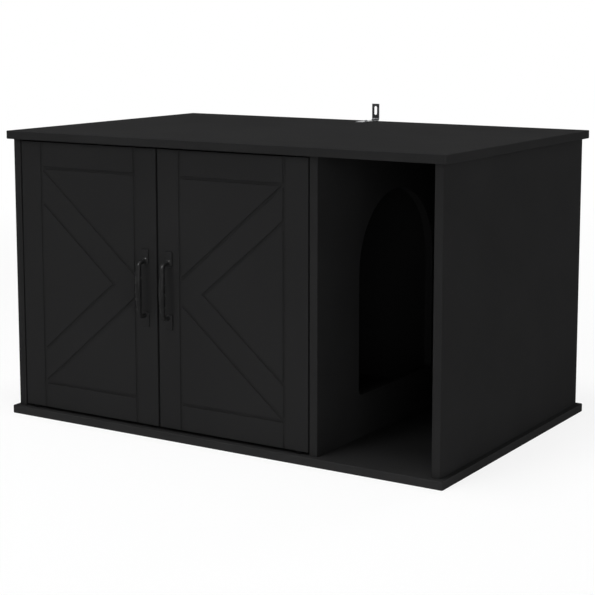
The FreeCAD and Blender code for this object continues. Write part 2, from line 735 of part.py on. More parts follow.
def strike_plate(side):
    # A steel plate on the back of the door, countersunk for its screw
    plate = new_body("%s_strike_plate" % side)
    sketch = sketch_on(plate, "XZ_Plane")
    draw_box(sketch, "-strike_length / 2", "-strike_height / 2", "strike_length / 2", "strike_height / 2")
    add_pad(plate, sketch, "strike_thickness", True)
    soften(plate, lambda edge: runs_along(edge, V(0, 1, 0)), "edge_round")
    groove_sketch = sketch_on(plate, "XY_Plane")
    draw_outline(groove_sketch, [
        ("0", "0"), ("screw_diameter / 2 + seat_clearance", "0"),
        ("screw_head / 2 + seat_clearance", "strike_thickness"), ("0", "strike_thickness"),
    ])
    sink = plate.newObject("PartDesign::Groove", "%s_sink" % plate.Name)
    sink.Profile = groove_sketch
    sink.ReferenceAxis = (groove_sketch, ["V_Axis"])
    sink.Angle = 360
    return put(plate, catch_spots[side], door_back, "%s - magnet_drop" % ceiling)


flush_screw = turn_body("flush_screw", [
    ("0", "-screw_length"), ("screw_diameter / 2", "screw_tip - screw_length"),
    ("screw_diameter / 2", "-strike_thickness"), ("screw_head / 2", "0"), ("0", "0"),
])
cut_cross(flush_screw, "0")
handle_bolt = pan_screw("handle_bolt", "handle_bolt_diameter", "(board + handle_bolt_reach)",
                        "handle_bolt_head", "handle_bolt_head_height", "handle_bolt_diameter / 4")

for side in ("left", "right"):
    parts.append(door_panel(side))
    parts.append(handle(side))
    parts.append(copies("%s_handle_bolts" % side, handle_bolt, [
        (handle_spots[side], door_back, "%s %s handle_spacing / 2" % (handle_middle, sign), to_back)
        for sign in "-+"]))
    parts.append(catch_housing(side))
    parts.append(catch_magnet(side))
    parts.append(strike_plate(side))
    parts.append(copies("%s_strike_screw" % side, flush_screw, [
        (catch_spots[side], "%s + strike_thickness" % door_back, "%s - magnet_drop" % ceiling, to_back)]))
parts.append(copies("catch_screws", small_screw, [
    (across, depth, "%s - catch_ear" % ceiling, down) for across, depth in catch_screw_spots]))

# Wall bracket: an angle of steel strip on the top's back edge, slotted for a wall screw
bracket = new_body("wall_bracket")
bracket_sketch = sketch_on(bracket, "YZ_Plane", "-bracket_width / 2")
draw_outline(bracket_sketch, [
    ("0", "0"), ("0", "bracket_rise"), ("-bracket_thickness", "bracket_rise"),
    ("-bracket_thickness", "bracket_thickness"), ("-bracket_run", "bracket_thickness"), ("-bracket_run", "0"),
])
add_pad(bracket, bracket_sketch, "bracket_width")
for edge_depth, edge_height, radius in (
    ("0", "0", "bracket_bend"),
    ("-bracket_thickness", "bracket_thickness", "bracket_bend - bracket_thickness"),
):
    soften(bracket, lambda edge: runs_along(edge, V(1, 0, 0)) and lies_at(edge, 1, edge_depth)
           and lies_at(edge, 2, edge_height), radius)
slot_half = "(bracket_slot_length - bracket_slot_width) / 2"
slot_middle = "(bracket_rise - bracket_slot_margin - bracket_slot_length / 2)"
slot_ends = [("0", "%s %s %s" % (slot_middle, sign, slot_half)) for sign in "-+"]
drill(bracket, "XZ_Plane", slot_ends, "bracket_slot_width", "bracket_thickness", "0", True)
slot_side = sketch_on(bracket, "XZ_Plane")
draw_box(slot_side, "-bracket_slot_width / 2", slot_ends[0][1], "bracket_slot_width / 2", slot_ends[1][1])
add_pocket(bracket, slot_side, "bracket_thickness", True)
drill(bracket, "XY_Plane", [("0", "-bracket_screw_setback")], pilot, "bracket_thickness", "0", True)
parts.append(put(bracket, "0", "cabinet_depth / 2", "cabinet_height"))
parts.append(copies("bracket_screw", small_screw, [
    (*bracket_screw_spot, "cabinet_height + bracket_thickness", upright)]))

doc.recompute()
for item in doc.Objects:
    if "Invalid" in item.State or "Error" in item.State:
        raise ValueError("%s failed: %s" % (item.Label, item.State))
for part in parts:
    if part.Shape.isNull() or not part.Shape.isValid():
        raise ValueError("%s has no valid shape" % part.Label)

os.makedirs("parts", exist_ok=True)
for part in parts:
    part.Shape.exportStep("parts/%s.step" % part.Label)
    print(part.Label, len(part.Shape.Solids), round(part.Shape.Volume))
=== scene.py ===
import json
import math

import bmesh
import bpy
from mathutils import Matrix, Vector


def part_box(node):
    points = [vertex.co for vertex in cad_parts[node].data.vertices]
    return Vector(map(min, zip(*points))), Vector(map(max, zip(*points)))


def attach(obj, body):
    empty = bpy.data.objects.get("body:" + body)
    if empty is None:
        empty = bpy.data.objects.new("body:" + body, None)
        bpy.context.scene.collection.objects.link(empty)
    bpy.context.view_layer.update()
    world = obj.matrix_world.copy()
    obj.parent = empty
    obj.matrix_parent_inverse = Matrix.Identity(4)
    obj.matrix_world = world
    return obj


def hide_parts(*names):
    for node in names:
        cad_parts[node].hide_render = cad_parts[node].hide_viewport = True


# Low black cabinet: plank-pattern doors, bow pulls, an open entry bay and an arched doorway
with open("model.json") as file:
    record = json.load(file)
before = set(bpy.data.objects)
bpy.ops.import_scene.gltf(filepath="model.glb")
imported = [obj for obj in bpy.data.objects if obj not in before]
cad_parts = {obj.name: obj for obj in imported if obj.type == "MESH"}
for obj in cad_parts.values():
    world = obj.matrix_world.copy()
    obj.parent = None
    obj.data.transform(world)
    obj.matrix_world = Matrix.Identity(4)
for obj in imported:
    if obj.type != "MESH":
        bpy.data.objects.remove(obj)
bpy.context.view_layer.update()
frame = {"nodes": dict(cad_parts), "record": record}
scene = bpy.context.scene
mm = 0.001
bodyOf = {node: body for body, nodes in frame["record"]["behaviour"]["bodies"].items() for node in nodes}


# Shader parts shared by the finishes
def startFinish(name, values):
    finish = bpy.data.materials.new(name)
    finish.use_nodes = True
    tree = finish.node_tree
    shader = tree.nodes["Principled BSDF"]
    for socket, value in values.items():
        shader.inputs[socket].default_value = value
    place = tree.nodes.new("ShaderNodeTexCoord").outputs["Object"]
    return finish, tree, shader, place


def noiseOf(tree, place, perMetre, detail, stretch=(1, 1, 1)):
    mapping = tree.nodes.new("ShaderNodeMapping")
    mapping.inputs["Scale"].default_value = stretch
    texture = tree.nodes.new("ShaderNodeTexNoise")
    texture.inputs["Scale"].default_value = perMetre
    texture.inputs["Detail"].default_value = detail
    tree.links.new(place, mapping.inputs["Vector"])
    tree.links.new(mapping.outputs["Vector"], texture.inputs["Vector"])
    return texture.outputs["Fac"]


noiseMiddle = (0.3, 0.7)               # most of a noise lies between these


def spreadOver(tree, value, low, high, span=noiseMiddle):
    # takes a span of a value to the range wanted
    node = tree.nodes.new("ShaderNodeMapRange")
    for socket, number in zip(("From Min", "From Max", "To Min", "To Max"), (*span, low, high)):
        node.inputs[socket].default_value = number
    tree.links.new(value, node.inputs["Value"])
    return node.outputs["Result"]


def tintBetween(tree, shader, value, dark, light):
    ramp = tree.nodes.new("ShaderNodeValToRGB")
    for stop, position, tone in zip(ramp.color_ramp.elements, noiseMiddle, (dark, light)):
        stop.position = position
        stop.color = (*tone, 1)
    tree.links.new(value, ramp.inputs["Fac"])
    tree.links.new(ramp.outputs["Color"], shader.inputs["Base Color"])


def tintAndRoughen(tree, shader, value, look):
    # one noise gives the tone and the roughness
    tintBetween(tree, shader, value, *look["tones"])
    tree.links.new(spreadOver(tree, value, *look["roughness"]), shader.inputs["Roughness"])


def emboss(tree, shader, *layers):
    # each layer is a height and how deep it is in metres; later layers lie on the earlier ones
    below = None
    for height, depth in layers:
        bump = tree.nodes.new("ShaderNodeBump")
        bump.inputs["Distance"].default_value = depth
        tree.links.new(height, bump.inputs["Height"])
        if below:
            tree.links.new(below, bump.inputs["Normal"])
        below = bump.outputs["Normal"]
    tree.links.new(below, shader.inputs["Normal"])


laminateLook = {
    "tones": ((0.0148, 0.0148, 0.0150), (0.0172, 0.0172, 0.0174)),
    # the edge band is drawn a shade lighter than the foil
    "edgeTones": ((0.0160, 0.0160, 0.0162), (0.0182, 0.0182, 0.0184)),
    # the base's tones are lighter copies of the same foil and band: painted light falling on the base panel
    "litBaseTones": ((0.0186, 0.0186, 0.0188), (0.0214, 0.0214, 0.0216)),
    "litBaseEdgeTones": ((0.0212, 0.0212, 0.0214), (0.0240, 0.0240, 0.0242)),
    "roughness": (0.84, 0.94),
    "gloss": 0.002,                # specular level, very low because the foil is matt
    "cloud": 7, "smudge": 3.2,     # features per metre
    "pore": 900, "poreDepth": 0.025 * mm,
    "wave": 60, "waveDepth": 0.05 * mm,
}


def blackLaminate(name, tones):
    look = laminateLook
    finish, tree, shader, place = startFinish(name, {"Specular IOR Level": look["gloss"]})
    tintBetween(tree, shader, noiseOf(tree, place, look["cloud"], detail=4), *tones)
    smudges = noiseOf(tree, place, look["smudge"], detail=5)
    tree.links.new(spreadOver(tree, smudges, *look["roughness"]), shader.inputs["Roughness"])
    emboss(tree, shader, (noiseOf(tree, place, look["wave"], detail=1), look["waveDepth"]),
           (noiseOf(tree, place, look["pore"], detail=3), look["poreDepth"]))
    return finish


lacquerLook = {
    "tones": ((0.0152, 0.0152, 0.0154), (0.0170, 0.0170, 0.0172)),
    "roughness": (0.72, 0.82), "gloss": 0.003,
    "cloud": 5, "peel": 420, "peelDepth": 0.03 * mm, "dust": 1700, "dustDepth": 0.008 * mm,
}


def doorLacquer():
    look = lacquerLook
    finish, tree, shader, place = startFinish("doorLacquer", {"Specular IOR Level": look["gloss"]})
    cloud = noiseOf(tree, place, look["cloud"], detail=4)
    tintAndRoughen(tree, shader, cloud, look)
    emboss(tree, shader, (noiseOf(tree, place, look["peel"], detail=1), look["peelDepth"]),
           (noiseOf(tree, place, look["dust"], detail=2), look["dustDepth"]))
    return finish


powderLook = {
    "tones": ((0.0100, 0.0100, 0.0102), (0.0120, 0.0120, 0.0122)),
    "roughness": (0.22, 0.30), "gloss": 0.06,
    "cloud": 60, "grain": 2200, "grainDepth": 0.005 * mm,
}


def powderCoat():
    look = powderLook
    finish, tree, shader, place = startFinish("powderCoat", {"Specular IOR Level": look["gloss"]})
    cloud = noiseOf(tree, place, look["cloud"], detail=3)
    tintAndRoughen(tree, shader, cloud, look)
    emboss(tree, shader, (noiseOf(tree, place, look["grain"], detail=2), look["grainDepth"]))
    return finish


metalLooks = {
    "brightZinc": {"tones": ((0.50, 0.51, 0.53), (0.66, 0.67, 0.67)), "roughness": (0.22, 0.36),
                   "cloud": 160, "grain": 2600, "grainDepth": 0.006 * mm, "stretch": (1, 1, 1)},
    "castZinc": {"tones": ((0.36, 0.37, 0.38), (0.50, 0.51, 0.52)), "roughness": (0.38, 0.55),
                 "cloud": 220, "grain": 1500, "grainDepth": 0.03 * mm, "stretch": (1, 1, 1)},
    "darkPlate": {"tones": ((0.050, 0.051, 0.053), (0.072, 0.073, 0.076)), "roughness": (0.16, 0.28),
                  "cloud": 90, "grain": 1200, "grainDepth": 0.008 * mm, "stretch": (0.15, 1, 1)},
    "blackOxide": {"tones": ((0.011, 0.011, 0.012), (0.017, 0.017, 0.018)), "roughness": (0.36, 0.48),
                   "cloud": 300, "grain": 2400, "grainDepth": 0.005 * mm, "stretch": (1, 1, 1)},
}


def platedMetal(name):
    look = metalLooks[name]
    finish, tree, shader, place = startFinish(name, {"Metallic": 1.0})
    cloud = noiseOf(tree, place, look["cloud"], detail=3)
    tintAndRoughen(tree, shader, cloud, look)
    grain = noiseOf(tree, place, look["grain"], detail=2, stretch=look["stretch"])
    emboss(tree, shader, (grain, look["grainDepth"]))
    return finish


plasticLooks = {
    "blackNylon": {"tones": ((0.004, 0.004, 0.0042), (0.0055, 0.0055, 0.0057)), "roughness": (0.56, 0.66),
                   "gloss": 0.01, "cloud": 150, "grain": 3000, "grainDepth": 0.005 * mm},
    "mouldedPlastic": {"tones": ((0.012, 0.012, 0.0125), (0.016, 0.016, 0.0165)), "roughness": (0.48, 0.60),
                       "gloss": 0.04, "cloud": 120, "grain": 1900, "grainDepth": 0.02 * mm},
    "ferrite": {"tones": ((0.085, 0.085, 0.090), (0.130, 0.130, 0.135)), "roughness": (0.55, 0.72),
                "gloss": 0.1, "cloud": 800, "grain": 4200, "grainDepth": 0.02 * mm},
}


def plainMoulding(name):
    look = plasticLooks[name]
    finish, tree, shader, place = startFinish(name, {"Specular IOR Level": look["gloss"]})
    cloud = noiseOf(tree, place, look["cloud"], detail=3)
    tintAndRoughen(tree, shader, cloud, look)
    emboss(tree, shader, (noiseOf(tree, place, look["grain"], detail=2), look["grainDepth"]))
    return finish


beechLook = {
    "tones": ((0.46, 0.29, 0.16), (0.66, 0.46, 0.28)), "roughness": (0.55, 0.70), "gloss": 0.3,
    "fibre": 420, "fibreDepth": 0.05 * mm,
    "stretch": (1, 1, 0.06),               # dowels stand upright, so the grain runs up
}


def beechWood():
    look = beechLook
    finish, tree, shader, place = startFinish("beechWood", {"Specular IOR Level": look["gloss"]})
    fibre = noiseOf(tree, place, look["fibre"], detail=5, stretch=look["stretch"])
    tintAndRoughen(tree, shader, fibre, look)
    emboss(tree, shader, (fibre, look["fibreDepth"]))
    return finish


finishes = {
    "laminate": blackLaminate("blackLaminate", laminateLook["tones"]),
    "edgeBand": blackLaminate("edgeBand", laminateLook["edgeTones"]),
    "baseLaminate": blackLaminate("baseLaminate", laminateLook["litBaseTones"]),
    "baseEdgeBand": blackLaminate("baseEdgeBand", laminateLook["litBaseEdgeTones"]),
    "lacquer": doorLacquer(),
    "powder": powderCoat(),
    "zinc": platedMetal("brightZinc"),
    "castZinc": platedMetal("castZinc"),
    "darkPlate": platedMetal("darkPlate"),
    "blackOxide": platedMetal("blackOxide"),
    "nylon": plainMoulding("blackNylon"),
    "moulded": plainMoulding("mouldedPlastic"),
    "ferrite": plainMoulding("ferrite"),
    "beech": beechWood(),
}
print("finishes made:", len(finishes))


# Mesh parts shared by the pieces
def newPiece(name, mesh, *used):
    data = bpy.data.meshes.new(name)
    mesh.to_mesh(data)
    mesh.free()
    for finish in used:
        data.materials.append(finish)
    piece = bpy.data.objects.new(name, data)
    scene.collection.objects.link(piece)
    return piece


def bakeModifiers(piece):
    # what the modifiers make becomes the piece's own mesh
    depsgraph = bpy.context.evaluated_depsgraph_get()
    shaped = piece.evaluated_get(depsgraph)
    baked = bpy.data.meshes.new_from_object(shaped, preserve_all_data_layers=True, depsgraph=depsgraph)
    rough = piece.data
    piece.modifiers.clear()
    piece.data = baked
    bpy.data.meshes.remove(rough)
    baked.name = piece.name


def smoothOver(piece, angle):
    # round faces shade smooth, flat ones stay flat
    piece.data.shade_smooth()
    piece.data.set_sharp_from_angle(angle=angle)
    weighted = piece.modifiers.new("flatFaces", "WEIGHTED_NORMAL")
    weighted.keep_sharp = True
    bakeModifiers(piece)


def standFor(piece, node):
    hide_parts(node)
    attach(piece, bodyOf[node])


dressing = {
    "merge": 0.002 * mm,              # corners this close are one
    "flat": math.radians(0.4),        # faces that turn less than this are one face
    "smoothUnder": math.radians(38),  # edges that turn less than this shade smooth
    "bevelSteps": 2,
    "wideFace": 0.9,                  # a wide face's normal lies this much along the thin axis
    "headBand": 0.1 * mm,             # corners this close to the head move with it
    "nearly": 1e-6,                   # numbers this close are the same
    "sortDecimals": 5,                # solids are put in order by their corners, rounded so
}


def dress(node, *used, thinAxis=None, bevel=0.0, headTo=None):
    # a merged copy of a CAD node, so that its round faces shade smooth
    mesh = bmesh.new()
    mesh.from_mesh(frame["nodes"][node].data)
    if headTo:
        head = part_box(node)[1].z
        for vert in mesh.verts:
            if head - vert.co.z < dressing["headBand"]:
                vert.co.z = headTo            # closes the slack, which would show as a line of light
    bmesh.ops.remove_doubles(mesh, verts=mesh.verts, dist=dressing["merge"])
    bmesh.ops.dissolve_limit(mesh, angle_limit=dressing["flat"], verts=mesh.verts, edges=mesh.edges)
    for face in mesh.faces:
        wide = thinAxis is None or abs(face.normal[thinAxis]) > dressing["wideFace"]
        face.material_index = 0 if wide else 1
    piece = newPiece(node + ".dressed", mesh, *used)
    if bevel:
        soft = piece.modifiers.new("easedEdges", "BEVEL")
        soft.width = bevel
        soft.segments = dressing["bevelSteps"]
        soft.limit_method = "ANGLE"
        soft.angle_limit = dressing["smoothUnder"]
        bakeModifiers(piece)
    smoothOver(piece, dressing["smoothUnder"])
    standFor(piece, node)


# Boards: foil on the wide faces, edge band round the narrow ones
boards = {                             # thin axis, foil and edge band; the base's foil and band are lighter copies of the same laminate, painted light falling on the base
    "top_panel": (2, "laminate", "edgeBand"),
    "base_panel": (2, "baseLaminate", "baseEdgeBand"),
    "left_side_panel": (0, "laminate", "edgeBand"),
    "divider_panel": (0, "laminate", "edgeBand"),
    "right_side_panel": (0, "laminate", "edgeBand"),
    "back_panel": (1, "laminate", "edgeBand"),
}
for node, (thinAxis, foil, band) in boards.items():
    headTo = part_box("top_panel")[0].z if node == "back_panel" else None
    dress(node, finishes[foil], finishes[band], thinAxis=thinAxis, headTo=headTo)
print("boards dressed:", len(boards))


# Doors: eight planks parted by shallow grooves
doorLook = {
    "plank": 47 * mm,                          # stiles, rails and braces are this wide
    "braceAngle": math.radians(40),
    # across a groove from its middle: distance and depth
    "groove": [(0, 2.5 * mm), (1.7 * mm, 2.45 * mm), (2.2 * mm, 2.1 * mm), (2.5 * mm, 0.9 * mm),
               (2.75 * mm, 0.25 * mm), (3.2 * mm, 0.03 * mm), (3.6 * mm, 0)],
    "edgeRound": 0.9 * mm,
    "runOut": 4.2 * mm,                        # the edge turns down this far beside a groove that runs out
    "backRound": 0.6 * mm,
    "backSteps": [(1, 0), (0.3, 0.3), (0, 1)],     # shares of it, short of the back and in from the rim
    "smoothUnder": math.radians(60),
}


def plankOutlines(width, height):
    # planks as outlines seen from the front, hinge side on the left
    p, out = doorLook["plank"], doorLook["runOut"]
    rise = math.tan(doorLook["braceAngle"])
    step = p / math.cos(doorLook["braceAngle"])
    far, top = width - p, height - p
    braceEnd = p + (far - p) * rise                        # where the outer brace groove meets the stile
    tip = (p + (height / 2 - p - step) / rise, height / 2)
    return [
        [(0, 0), (p - out, 0), (p, 0), (p, p), (p, p + step), (p, top - step), (p, top), (p, height),
         (p - out, height), (0, height)],
        [(far, 0), (far + out, 0), (width, 0), (width, height), (far + out, height), (far, height),
         (far, top), (far, height - braceEnd), (far, braceEnd), (far, p)],
        [(p, 0), (p + out, 0), (far - out, 0), (far, 0), (far, p), (p, p)],
        [(p, top), (far, top), (far, height), (far - out, height), (p + out, height), (p, height)],
        [(p, p), (far, p), (far, braceEnd)],
        [(p, top), (far, height - braceEnd), (far, top)],
        [(p, p), (far, braceEnd), (far, height - braceEnd), (p, top), (p, top - step), tip, (p, p + step)],
        [(p, p + step), tip, (p, top - step)],
    ]


def insetOutline(points, insets):
    # moves each edge inwards by its own distance
    ring = []
    for number, point in enumerate(points):
        enter = (point - points[number - 1]).normalized()
        leave = (points[(number + 1) % len(points)] - point).normalized()
        turn = enter.cross(leave)
        if abs(turn) < dressing["nearly"]:
            ring.append(point + Vector((-leave.y, leave.x)) * insets[number])
        else:
            ring.append(point + (leave * insets[number - 1] - enter * insets[number]) / turn)
    return ring


def roundedEdge(steps):
    # the door's outer edge as the same number of rings as a groove has
    radius = doorLook["edgeRound"]
    turns = [math.pi / 2 * step / (steps - 1) for step in range(steps)]
    return [(radius * (1 - math.cos(turn)), radius * (1 - math.sin(turn))) for turn in turns]


def onRim(a, b, width, height):
    for axis, far in ((0, width), (1, height)):
        for limit in (0, far):
            if max(abs(a[axis] - limit), abs(b[axis] - limit)) < dressing["nearly"]:
                return True
    return False


def buildDoor(side):
    low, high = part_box(side + "_door_panel")
    width, height = high.x - low.x, high.z - low.z
    groove = doorLook["groove"]
    rim = roundedEdge(len(groove))
    mesh = bmesh.new()
    for outline in plankOutlines(width, height):
        if side == "right":
            outline = [(width - x, z) for x, z in reversed(outline)]
        points = [Vector(point) for point in outline]
        following = points[1:] + points[:1]
        profiles = [rim if onRim(a, b, width, height) else groove for a, b in zip(points, following)]
        rings = []
        for step in range(len(groove)):
            ring = insetOutline(points, [profile[step][0] for profile in profiles])
            depths = [max(profiles[n][step][1], profiles[n - 1][step][1]) for n in range(len(points))]
            places = [(low.x + p.x, low.y + d, low.z + p.y) for p, d in zip(ring, depths)]
            rings.append([mesh.verts.new(place) for place in places])
        for outer, inner in zip(rings, rings[1:]):
            for n in range(len(points)):
                mesh.faces.new((outer[n - 1], outer[n], inner[n], inner[n - 1]))
        mesh.faces.new(rings[-1])
    bmesh.ops.remove_doubles(mesh, verts=mesh.verts, dist=dressing["merge"])
    back = doorLook["backRound"]
    edge = [e for e in mesh.edges if e.is_boundary]
    for short, inward in doorLook["backSteps"]:
        inset = back * inward
        grown = bmesh.ops.extrude_edge_only(mesh, edges=edge)["geom"]
        for vert in (item for item in grown if isinstance(item, bmesh.types.BMVert)):
            vert.co.x = min(max(vert.co.x, low.x + inset), high.x - inset)
            vert.co.y = high.y - back * short
            vert.co.z = min(max(vert.co.z, low.z + inset), high.z - inset)
        edge = [item for item in grown if isinstance(item, bmesh.types.BMEdge) and item.is_boundary]
    bmesh.ops.edgeloop_fill(mesh, edges=edge)
    bmesh.ops.recalc_face_normals(mesh, faces=mesh.faces)
    piece = newPiece(side + "_door_planks", mesh, finishes["lacquer"])
    smoothOver(piece, doorLook["smoothUnder"])
    standFor(piece, side + "_door_panel")


# Pulls: a cast bow on two feet, with soft joins
pullLook = {
    "posts": 96 * mm, "standoff": 20 * mm, "bow": 2 * mm, "bend": 9 * mm,
    "leg": 4.1 * mm, "grip": 5.8 * mm,         # radii
    "bowShape": 1.4, "gripShape": 1.15,        # how quickly the bow and the swelling build up
    "fillet": 3.2 * mm,                        # where a post runs into its foot
    "footWidth": 15 * mm, "footThick": 3 * mm, "footIn": 5 * mm, "footOut": 21 * mm,
    "footRound": 1.3 * mm, "footSteps": 4, "footProfile": 0.5,     # a profile of a half is round
    "sink": 0.4 * mm,                          # into the door, so that no gap shows under the feet
    "around": 28, "legSteps": 24, "bendSteps": 9, "gripSteps": 44,
    "voxel": 0.5 * mm, "smoothing": 5, "softness": 0.5,
}


def pullPath():
    # centre line and radius from the upper foot to the lower one, as distance out, height and radius
    look = pullLook
    reach = look["standoff"] - look["bend"]
    half = look["posts"] / 2
    stations = []
    for n in range(look["legSteps"]):
        out = -look["sink"] + (reach + look["sink"]) * n / look["legSteps"]
        short = look["fillet"] - min(max(out - look["footThick"], 0), look["fillet"])
        spread = look["fillet"] - math.sqrt(look["fillet"] ** 2 - short ** 2)
        stations.append((out, half, look["leg"] + spread))
    for n in range(look["bendSteps"]):
        turn = math.pi / 2 * n / look["bendSteps"]
        stations.append((reach + look["bend"] * math.sin(turn),
                         half - look["bend"] * (1 - math.cos(turn)), look["leg"]))
    for n in range(look["gripSteps"] // 2 + 1):
        share = n / look["gripSteps"]
        bow = math.sin(math.pi * share) ** look["bowShape"]
        swell = math.sin(math.pi * share) ** look["gripShape"]
        stations.append((look["standoff"] + look["bow"] * bow, (half - look["bend"]) * (1 - 2 * share),
                         look["leg"] + (look["grip"] - look["leg"]) * swell))
    return stations + [(out, -up, radius) for out, up, radius in reversed(stations[:-1])]


def sweepRound(mesh, stations, middle):
    rings = []
    for n, (out, up, radius) in enumerate(stations):
        before, after = stations[max(n - 1, 0)], stations[min(n + 1, len(stations) - 1)]
        along = Vector((0, before[0] - after[0], after[1] - before[1])).normalized()
        across = along.cross(Vector((1, 0, 0)))
        centre = middle + Vector((0, -out, up))
        turns = [2 * math.pi * k / pullLook["around"] for k in range(pullLook["around"])]
        rings.append([mesh.verts.new(centre + Vector((1, 0, 0)) * radius * math.cos(turn)
                                     + across * radius * math.sin(turn)) for turn in turns])
    for first, second in zip(rings, rings[1:]):
        for k in range(pullLook["around"]):
            mesh.faces.new((first[k - 1], first[k], second[k], second[k - 1]))
    mesh.faces.new(rings[0])
    mesh.faces.new(rings[-1])


def addFoot(mesh, middle, sign):
    look = pullLook
    low, high = look["posts"] / 2 - look["footIn"], look["posts"] / 2 + look["footOut"]
    size = Vector((look["footWidth"], look["footThick"] + look["sink"], high - low))
    centre = middle + Vector((0, (look["sink"] - look["footThick"]) / 2, sign * (low + high) / 2))
    place = Matrix.Translation(centre) @ Matrix.Diagonal((*size, 1))
    made = bmesh.ops.create_cube(mesh, size=1, matrix=place)
    front = min(vert.co.y for vert in made["verts"])
    edges = {edge for vert in made["verts"] for edge in vert.link_edges
             if any(abs(end.co.y - front) < dressing["nearly"] for end in edge.verts)}
    bmesh.ops.bevel(mesh, geom=sorted(edges, key=lambda edge: edge.index), offset=look["footRound"],
                    segments=look["footSteps"], profile=look["footProfile"], affect="EDGES")


def buildPull(side):
    low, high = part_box(side + "_handle")
    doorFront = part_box(side + "_door_panel")[0].y
    middle = Vector(((low.x + high.x) / 2, doorFront, (low.z + high.z) / 2))
    mesh = bmesh.new()
    sweepRound(mesh, pullPath(), middle)
    for sign in (1, -1):
        addFoot(mesh, middle, sign)
    bmesh.ops.recalc_face_normals(mesh, faces=mesh.faces)
    piece = newPiece(side + "_bow_pull", mesh, finishes["powder"])
    cast = piece.modifiers.new("oneCasting", "REMESH")
    cast.mode = "VOXEL"
    cast.voxel_size = pullLook["voxel"]
    soft = piece.modifiers.new("softJoins", "SMOOTH")
    soft.factor = pullLook["softness"]
    soft.iterations = pullLook["smoothing"]
    bakeModifiers(piece)
    piece.data.shade_smooth()
    piece.data.materials.clear()
    piece.data.materials.append(finishes["powder"])
    standFor(piece, side + "_handle")


for side in ("left", "right"):
    buildDoor(side)
    buildPull(side)
print("doors and pulls built")


# Repeated fittings: one master each, set out by geometry nodes
def scatterTree():
    tree = bpy.data.node_groups.new("setOutFittings", "GeometryNodeTree")
    sockets = tree.interface
    sockets.new_socket("Geometry", in_out="INPUT", socket_type="NodeSocketGeometry")
    sockets.new_socket("Fitting", in_out="INPUT", socket_type="NodeSocketObject")
    sockets.new_socket("Spin", in_out="INPUT", socket_type="NodeSocketFloat")
    sockets.new_socket("Seed", in_out="INPUT", socket_type="NodeSocketInt")
    sockets.new_socket("Finish", in_out="INPUT", socket_type="NodeSocketMaterial")
    sockets.new_socket("Geometry", in_out="OUTPUT", socket_type="NodeSocketGeometry")
    given = tree.nodes.new("NodeGroupInput")
    made = tree.nodes.new("NodeGroupOutput")
    fitting = tree.nodes.new("GeometryNodeObjectInfo")
    facing = tree.nodes.new("GeometryNodeInputNamedAttribute")
    facing.data_type = "FLOAT_VECTOR"
    facing.inputs["Name"].default_value = "facing"
    aim = tree.nodes.new("FunctionNodeAlignRotationToVector")
    aim.axis = "Z"
    chance = tree.nodes.new("FunctionNodeRandomValue")
    chance.data_type = "FLOAT"
    negative = tree.nodes.new("ShaderNodeMath")
    negative.operation = "MULTIPLY"
    negative.inputs[1].default_value = -1
    twist = tree.nodes.new("FunctionNodeAxisAngleToRotation")
    twist.inputs["Axis"].default_value = (0, 0, 1)
    turned = tree.nodes.new("FunctionNodeRotateRotation")
    turned.rotation_space = "LOCAL"
    place = tree.nodes.new("GeometryNodeInstanceOnPoints")
    real = tree.nodes.new("GeometryNodeRealizeInstances")
    paint = tree.nodes.new("GeometryNodeSetMaterial")
    floats = [socket for socket in chance.inputs if socket.type == "VALUE"]
    amount = [socket for socket in chance.outputs if socket.type == "VALUE"][0]
    vector = [socket for socket in facing.outputs if socket.type == "VECTOR"][0]
    for start, end in (
        (given.outputs["Geometry"], place.inputs["Points"]),
        (given.outputs["Fitting"], fitting.inputs["Object"]),
        (fitting.outputs["Geometry"], place.inputs["Instance"]),
        (vector, aim.inputs["Vector"]),
        (given.outputs["Spin"], negative.inputs[0]),
        (negative.outputs["Value"], floats[0]),
        (given.outputs["Spin"], floats[1]),
        (given.outputs["Seed"], chance.inputs["Seed"]),
        (amount, twist.inputs["Angle"]),
        (aim.outputs["Rotation"], turned.inputs["Rotation"]),
        (twist.outputs["Rotation"], turned.inputs["Rotate By"]),
        (turned.outputs["Rotation"], place.inputs["Rotation"]),
        (place.outputs["Instances"], real.inputs["Geometry"]),
        (real.outputs["Geometry"], paint.inputs["Geometry"]),
        (given.outputs["Finish"], paint.inputs["Material"]),
        (paint.outputs["Geometry"], made.inputs["Geometry"]),
    ):
        tree.links.new(start, end)
    return tree


setOut = scatterTree()


def solidsOf(node):
    # lowest and highest corner of each separate solid in a CAD node
    mesh = bmesh.new()
    mesh.from_mesh(frame["nodes"][node].data)
    bmesh.ops.remove_doubles(mesh, verts=mesh.verts, dist=dressing["merge"])
    boxes = []
    for first in mesh.verts:
        if first.tag:
            continue
        first.tag = True
        group = [first]
        for vert in group:
            for edge in vert.link_edges:
                other = edge.other_vert(vert)
                if not other.tag:
                    other.tag = True
                    group.append(other)
        points = [vert.co for vert in group]
        boxes.append((Vector([min(p[a] for p in points) for a in range(3)]),
                      Vector([max(p[a] for p in points) for a in range(3)])))
    mesh.free()
    return sorted(boxes, key=lambda box: tuple(round(c, dressing["sortDecimals"]) for c in box[0]))


def turnedMaster(name, profile, around):
    # a round master from radius and height pairs, standing on its seat at height zero
    mesh = bmesh.new()
    verts = [mesh.verts.new((radius, 0, height)) for radius, height in profile]
    edges = [mesh.edges.new(pair) for pair in zip(verts, verts[1:])]
    bmesh.ops.spin(mesh, geom=verts + edges, cent=(0, 0, 0), axis=(0, 0, 1), angle=2 * math.pi,
                   steps=around, use_merge=True)
    bmesh.ops.remove_doubles(mesh, verts=mesh.verts, dist=dressing["merge"])
    bmesh.ops.recalc_face_normals(mesh, faces=mesh.faces)
    return newPiece(name, mesh)


